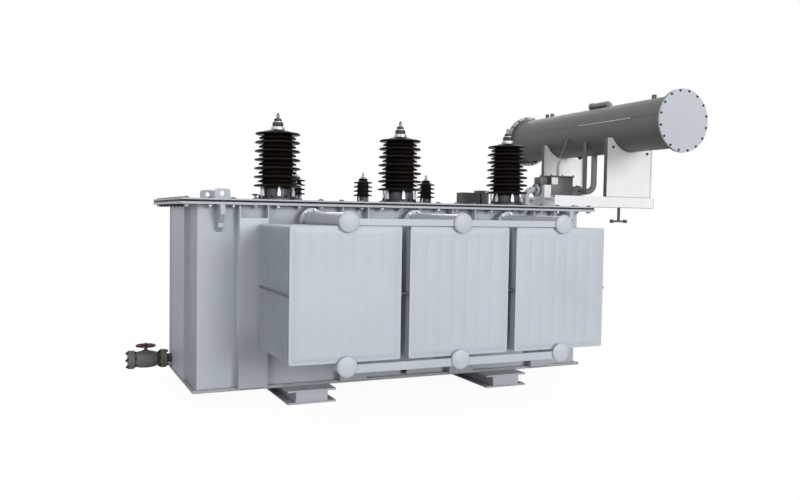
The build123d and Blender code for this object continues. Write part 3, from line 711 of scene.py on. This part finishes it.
# Conservator: small dark bolts round the end covers and on the supports.
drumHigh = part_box("conservator_drum")[1]
coverLow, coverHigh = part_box("conservator_back_cover")
drumX, drumZ = (coverLow.x + coverHigh.x) / 2, (coverLow.z + coverHigh.z) / 2
drumBolts = {"count": 16, "inset": 0.0125, "head": 0.0070, "height": 0.007, "rim": 0.014,
             "supportSpots": ((-0.175, 1.808), (0.175, 1.768)), "supportHead": 0.0085,
             "supportHeight": 0.008}
supportLow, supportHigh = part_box("conservator_supports")
rimY = drumHigh.y - drumBolts["rim"]      # inner face of the drum's rims
spots, supportSpots = [], []
for way in (-1, 1):
    for y, out in ((way * coverHigh.y, way), (way * rimY, -way)):
        spots += ring((drumX, y, drumZ), (0, out, 0), coverHigh.z - drumZ - drumBolts["inset"],
                      drumBolts["count"])
    supportSpots += [((drumX + x, way * supportHigh.y, z), (0, way, 0))
                     for x, z in drumBolts["supportSpots"]]
boltRow("drumBolts", spots, drumBolts["head"], drumBolts["height"], darkBolt)
boltRow("supportBolts", supportSpots, drumBolts["supportHead"], drumBolts["supportHeight"], darkBolt)
supportShadeStrips = {"depth": 0.0016, "keep": 0.001}     # dark strips down the narrow sides of the supports: painted shade on their returns
strips = Shape()
for sideX, out in ((supportLow.x, -1), (supportHigh.x, 1)):
    for way in (-1, 1):
        low, high = extent([v.co for v in nodes["conservator_supports"].data.vertices
                            if abs(v.co.x - sideX) < supportShadeStrips["keep"] and v.co.y * way > 0])
        xSpan = sorted((sideX, sideX + out * supportShadeStrips["depth"]))
        strips.bar((xSpan[0], *low[1:]), (xSpan[1], *high[1:]))
stripTop = high[2]
piece("supportShadeStrips", strips.mesh("strips"), finishes["drum_paint"])
# painted shadow lines where the supports stand on the beams, at their folds and along the beams' edges
shadowLines = {"wide": 0.0032, "proud": 0.0006, "seat": 0.001, "fold": 0.014, "foldTop": 0.030}
beamLow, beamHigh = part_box("conservator_beams")
wide, foldX, foldTop = shadowLines["wide"], supportHigh.x - shadowLines["fold"], stripTop - shadowLines["foldTop"]
lines = Shape()
for way in (-1, 1):
    for faceY, low, high in (
            (supportHigh.y, (supportLow.x, beamHigh.z - wide / 2), (supportHigh.x, beamHigh.z + wide / 2)),
            (supportHigh.y, (foldX, beamHigh.z), (foldX + wide, foldTop)),
            (beamHigh.y, (beamLow.x, beamLow.z), (beamHigh.x, beamLow.z + wide)),
            (beamHigh.y, (beamHigh.x - wide, beamLow.z), (beamHigh.x, beamHigh.z))):
        ySpan = sorted((way * (faceY - shadowLines["seat"]), way * (faceY + shadowLines["proud"])))
        lines.bar((low[0], ySpan[0], low[1]), (high[0], ySpan[1], high[1]))
piece("shadowLines", lines.mesh("lines"), stayPaint)
# plugs under the drum, a dark disc in the filler's mouth as painted shade, and pale bands on the drum's rims
drumPlugs = {"rows": (0.20, 0.90), "radius": 0.200, "head": 0.019, "height": 0.013}
boltRow("drumPlugs", [((drumX, y, drumZ - drumPlugs["radius"]), (0, 0, -1)) for y in drumPlugs["rows"]],
        drumPlugs["head"], drumPlugs["height"], darkBolt)
fillerMouthShade = {"rim": 0.030, "bore": 0.024, "throat": 0.022, "depth": 0.003, "base": 0.001, "drop": 0.032}
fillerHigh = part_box("filler_elbow")[1]
rim, bore, throat, depth, base = (fillerMouthShade[key] for key in ("rim", "bore", "throat", "depth", "base"))
mouthShade = Shape()
mouthShade.turned([(0, 0), (rim, 0), (rim, depth), (bore, depth), (throat, base), (0, base)],
             placed((drumX, fillerHigh.y, fillerHigh.z - fillerMouthShade["drop"]), -90, "X"), sides=32)
piece("fillerMouthShade", mouthShade.mesh("mouthShade"), darkBolt)
rimBand = {"inner": 0.216, "outer": 0.2372, "depth": 0.0012}
inner, outer, depth = (rimBand[key] for key in ("inner", "outer", "depth"))
band = Shape()
circle = [(inner, 0), (outer, 0), (outer, depth), (inner, depth)]
for way in (-1, 1):
    band.turned(circle + circle[:1], placed((drumX, way * rimY, drumZ), 90 * way, "X"), sides=72)
piece("rimBands", band.mesh("bands"), finishes["conservator_paint"])

# Gas relay: a dark housing with a lid, sight windows and a valve head, on a pale shut-off valve.
relay = {"rise": 0.142, "neck": 0.040, "flange": 0.048, "flangeDepth": 0.012,
         "box": (0.1002, 0.3212), "half": 0.080, "foot": -0.052, "top": 0.110, "lidTop": 0.122,
         "lidMargin": 0.008, "bevel": 0.004, "head": (0.0129, 0.0992), "headHalf": 0.046, "headTop": 0.107,
         "valve": (0.0331, 0.1002), "valveFoot": -0.062, "valveTop": 0.042, "paleBevel": 0.0015,
         "window": (0.104, 0.166), "windowFoot": 0.048, "windowTop": 0.106, "windowProud": 0.003,
         "windowSeat": 0.002, "bolts": 4, "boltRing": 0.0425, "riserRing": 0.038, "bolt": 0.0055,
         "boltHeight": 0.006}
relayLow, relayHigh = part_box("gas_relay")
line = Vector((relayLow.x, 0, coverTop + relay["rise"]))
onLine = placed(line)
run, neck, flange, deep = relayHigh.x - relayLow.x, relay["neck"], relay["flange"], relay["flangeDepth"]
tube = Shape()
tube.turned([(0, 0), (flange, 0), (flange, deep), (neck, deep), (neck, run - deep), (flange, run - deep),
             (flange, run), (0, run)], placed(line, 90, "Y"), sides=40)
piece("relayNeck", tube.mesh("neck"), finishes["pipe_paint"])
housing, pale = Shape(), Shape()
half, margin = relay["half"], relay["lidMargin"]
boxStart, boxEnd = relay["box"]
for start, end, deepHalf, low, high in (
        (boxStart, boxEnd, half, relay["foot"], relay["top"]),
        (boxStart - margin, boxEnd + margin, half + margin, relay["top"], relay["lidTop"]),
        (*relay["head"], relay["headHalf"], relay["valveTop"], relay["headTop"])):
    housing.bar((start, -deepHalf, low), (end, deepHalf, high), onLine)
piece("relayHousing", housing.mesh("housing", relay["bevel"]), finishes["fitting_paint"],
      ["gas_relay"])
valveStart, valveEnd = relay["valve"]
windowStart, windowEnd = relay["window"]
pale.bar((valveStart, -half, relay["valveFoot"]), (valveEnd, half, relay["valveTop"]), onLine)
for way in (-1, 1):
    ySpan = sorted((way * (half - relay["windowSeat"]), way * (half + relay["windowProud"])))
    pale.bar((windowStart, ySpan[0], relay["windowFoot"]), (windowEnd, ySpan[1], relay["windowTop"]), onLine)
piece("relayValve", pale.mesh("valve", relay["paleBevel"]), finishes["support_paint"])
spots = []
for x, way in ((deep, 1), (run - deep, -1), (-deep, -1), (run + deep, 1)):
    spots += ring(line + Vector((x, 0, 0)), (way, 0, 0), relay["boltRing"], relay["bolts"])
spots += [(line + Vector((x, y, relay["lidTop"])), (0, 0, 1))
          for x in (boxStart, (boxStart + boxEnd) / 2, boxEnd) for y in (-half, half)]
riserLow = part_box("relay_riser")[0]
spots += ring((riserLow.x + flange, 0, coverTop + deep), (0, 0, 1), relay["riserRing"], relay["bolts"])
boltRow("relayBolts", spots, relay["bolt"], relay["boltHeight"], darkBolt)

# Air plug on the cover: hexagon, stem and a dark ring with a crossbar to turn it by.
airPlug = {"place": (-0.965, -0.10), "base": 0.019, "baseTop": 0.016, "stem": 0.010, "height": 0.034,
           "ring": 0.019, "wire": 0.0055, "barHalf": 0.6, "barTop": 0.3}      # the bar in shares of the wire
plugSpot = placed((tankX + airPlug["place"][0], airPlug["place"][1], coverTop))
stem = Shape()
for radius, foot, top, sides in ((airPlug["base"], 0, airPlug["baseTop"], 6),
                                 (airPlug["stem"], airPlug["baseTop"], airPlug["height"], 20)):
    stem.turned([(0, foot), (radius, foot), (radius, top), (0, top)], plugSpot, sides)
piece("airPlugStem", stem.mesh("stem"), boltSteel)
loop = Shape()
wire, reach, level = airPlug["wire"], airPlug["ring"], airPlug["height"] + airPlug["wire"]
circle = [(reach + wire * math.cos(turn), level + wire * math.sin(turn))
          for turn in map(math.radians, range(0, 360, 45))]
loop.turned(circle + circle[:1], plugSpot, sides=28)
loop.bar((-reach, -wire * airPlug["barHalf"], level - wire),
         (reach, wire * airPlug["barHalf"], level + wire * airPlug["barTop"]), plugSpot)
piece("airPlugRing", loop.mesh("loop"), darkBolt)
print("conservator and relay dressed")

# Drain valve: a bulged body with its bonnet, flange bolts, and the web and nut of the wheel.
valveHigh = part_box("drain_valve")[1]
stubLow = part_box("drain_stub")[0]
blankLow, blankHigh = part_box("drain_blank")
wheelLow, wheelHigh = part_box("drain_handwheel")
drainY, drainZ = (blankLow.y + blankHigh.y) / 2, (blankLow.z + blankHigh.z) / 2
wheelX = (wheelLow.x + wheelHigh.x) / 2
# outline of the barrel from the inlet flange outwards, then of the bonnet upwards from the axis
valveBody = {"barrel": ((0, 0), (0.066, 0), (0.066, 0.020), (0.041, 0.021), (0.039, 0.032), (0.049, 0.042),
                        (0.0565, 0.062), (0.061, 0.090), (0.062, 0.1205), (0.061, 0.150), (0.0565, 0.176),
                        (0.052, 0.190), (0.052, 0.2005), (0.066, 0.201), (0.066, 0.221), (0, 0.221)),
             "bonnet": ((0, 0.045), (0.034, 0.045), (0.030, 0.060), (0.021, 0.0655), (0.0145, 0.067),
                        (0.0125, 0.070), (0.0125, 0.078), (0, 0.078)), "bevel": 0.0025}
body = Shape()
body.turned(valveBody["barrel"], placed((valveHigh.x, drainY, drainZ), -90, "Y"), sides=56)
body.turned(valveBody["bonnet"], placed((wheelX, drainY, drainZ)), sides=40)
piece("valveBody", body.mesh("valve", valveBody["bevel"]), finishes["valve_iron"],
      ["drain_valve"])
drainBolts = {"count": 6, "ring": 0.055, "flange": 0.020, "head": 0.0095, "height": 0.009}
spots, deep = [], drainBolts["flange"]
for x, way in ((blankLow.x, -1), (blankHigh.x + deep, 1), (valveHigh.x - deep, -1), (stubLow.x + deep, 1)):
    spots += ring((x, drainY, drainZ), (way, 0, 0), drainBolts["ring"], drainBolts["count"], 0)
boltRow("drainBolts", spots, drainBolts["head"], drainBolts["height"], darkBolt)
wheelWeb = {"hub": 0.012, "rim": 0.058, "drop": 0.009, "half": 0.0012, "dish": 0.002}
hub, rim, half, dish = (wheelWeb[key] for key in ("hub", "rim", "half", "dish"))
web = Shape()
circle = [(hub, -half - dish), (rim, -half), (rim, half), (hub, half - dish)]
web.turned(circle + circle[:1], placed((wheelX, drainY, wheelHigh.z - wheelWeb["drop"])), sides=40)
piece("wheelWeb", web.mesh("web"), finishes["handwheel_paint"], body="handwheel")
wheelNut = {"head": 0.0085, "height": 0.007}
boltRow("wheelNut", [((wheelX, drainY, wheelHigh.z), (0, 0, 1))], wheelNut["head"], wheelNut["height"],
        darkBolt, "handwheel")
print("drain dressed")

# Weld beads along the stiffeners and the base, and the drum's seam, with a painted highlight on the seam's
# front part.
welds = {"bead": 0.0045, "ripple": 0.016, "swell": (0.7, 1.25), "seed": 3, "half": 0.095, "endHalf": 0.25,
         "clear": 0.01, "drum": 0.200, "seamTurn": 167.4, "seam": 0.98, "seamBead": 0.0020,
         "paled": (-0.68, -0.02), "glintBead": 0.0034}
weld = Recipe("weldBeads", Bead="Float", Ripple="Float")
path = weld.node("GeometryNodeMeshToCurve", None, {0: weld.given("Geometry")})
path = weld.node("GeometryNodeResampleCurve", {"mode": "LENGTH"},
                 {"Curve": path, "Length": weld.given("Ripple")})
least, most = welds["swell"]
swell = weld.node("FunctionNodeRandomValue", {"data_type": "FLOAT"}, {2: least, 3: most, 8: welds["seed"]}, 1)
path = weld.node("GeometryNodeSetCurveRadius", None, {"Curve": path, "Radius": swell})
bead = weld.node("GeometryNodeCurvePrimitiveCircle", None, {"Resolution": 6, "Radius": weld.given("Bead")})
weld.close(weld.node("GeometryNodeCurveToMesh", None,
                     {"Curve": path, "Profile Curve": bead, "Fill Caps": True}))


def beads(name, runs, size, slot):
    thread = bpy.data.meshes.new("runs")
    pairs = [(2 * i, 2 * i + 1) for i in range(len(runs))]
    thread.from_pydata([point for run in runs for point in run], pairs, [])
    made = grown(thread, weld, Bead=size, Ripple=welds["ripple"], Finish=finishes[slot])
    piece(name, made, crease=80)
    print(name, len(runs))


runs = []
foot, top = wallLow.z + welds["clear"], wallHigh.z - welds["clear"]
for way in (-1, 1):
    wallY, endX = -way * wallLow.y, tankX + way * (wallHigh.x - tankX)
    for x in [tankX + s + side * welds["half"] for s in stations for side in (-1, 1)]:
        runs.append([(x, wallY, foot), (x, wallY, top)])
    for y in (-welds["endHalf"], welds["endHalf"]):
        runs.append([(endX, y, foot), (endX, y, top)])
    runs.append([(wallLow.x, wallY, wallLow.z), (wallHigh.x, wallY, wallLow.z)])
    runs.append([(endX, wallLow.y, wallLow.z), (endX, -wallLow.y, wallLow.z)])
beads("weldBeads", runs, welds["bead"], "tank_paint")
turn = math.radians(welds["seamTurn"])
seamX, seamZ = drumX + welds["drum"] * math.cos(turn), drumZ + welds["drum"] * math.sin(turn)
seam, paled = welds["seam"], welds["paled"]     # the seam's front part in white paint is a painted highlight
for name, spans, size, slot in (
        ("drumSeam", ((-seam, paled[0]), (paled[1], seam)), welds["seamBead"], "drum_paint"),
        ("drumSeamGlint", (paled,), welds["glintBead"], "support_paint")):
    beads(name, [[(seamX, y, seamZ) for y in span] for span in spans], size, slot)

# Stage: a white floor that is mostly glow to the camera, an even sky and three soft suns.
stage = {"reach": 60, "sky": 0.36, "ground": 0.72, "rough": 0.9, "white": 0.9, "glow": 1.06}
lamps = {"key": {"from": (0.32, -0.92, 0.20), "strength": 1.5, "softness": 24},
         "fill": {"from": (-0.66, -0.68, 0.28), "strength": 0.62, "softness": 28},
         "rear": {"from": (0.35, 0.90, 0.24), "strength": 0.9, "softness": 30}}
floorMesh = bpy.data.meshes.new("floor")
reach = stage["reach"]
floorMesh.from_pydata([(-reach, -reach, 0), (reach, -reach, 0), (reach, reach, 0), (-reach, reach, 0)], [],
                      [(0, 1, 2, 3)])
floor = bpy.data.objects.new("floor", floorMesh)
scene.collection.objects.link(floor)
ground = Finish("floorWhite")
ground.feed(Base_Color=(*[stage["ground"]] * 3, 1), Roughness=stage["rough"])
seen = ground.node("ShaderNodeLightPath") * stage["white"]
glow = ground.node("ShaderNodeEmission", None, {"Color": (1, 1, 1, 1), "Strength": stage["glow"]})
shown = ground.node("ShaderNodeMixShader", None,
                    {0: seen, 1: Wire(ground, ground.shader.outputs[0]), 2: glow})
ground.join(ground.tree.nodes["Material Output"].inputs[0], shown)
floorMesh.materials.append(ground.material)

world = bpy.data.worlds.new("studio")
scene.world = world
world.use_nodes = True
sky = Graph(world.node_tree)
rays = sky.node("ShaderNodeLightPath").socket.node.outputs
direct = [Wire(sky, rays[key]) for key in ("Is Camera Ray", "Is Glossy Ray", "Is Transmission Ray")]
plain = direct[0].combine("MAXIMUM", direct[0], direct[1].combine("MAXIMUM", direct[1], direct[2]))
back = world.node_tree.nodes["Background"]
sky.join(back.inputs["Color"], (1, 1, 1, 1))
sky.join(back.inputs["Strength"], plain * (1 - stage["sky"]) + stage["sky"])

for name, lamp in lamps.items():
    sun = bpy.data.objects.new(name, bpy.data.lights.new(name, "SUN"))
    scene.collection.objects.link(sun)
    sun.data.energy = lamp["strength"]
    sun.data.angle = math.radians(lamp["softness"])
    sun.rotation_euler = Vector(lamp["from"]).to_track_quat("Z", "Y").to_euler()
print("stage lit")
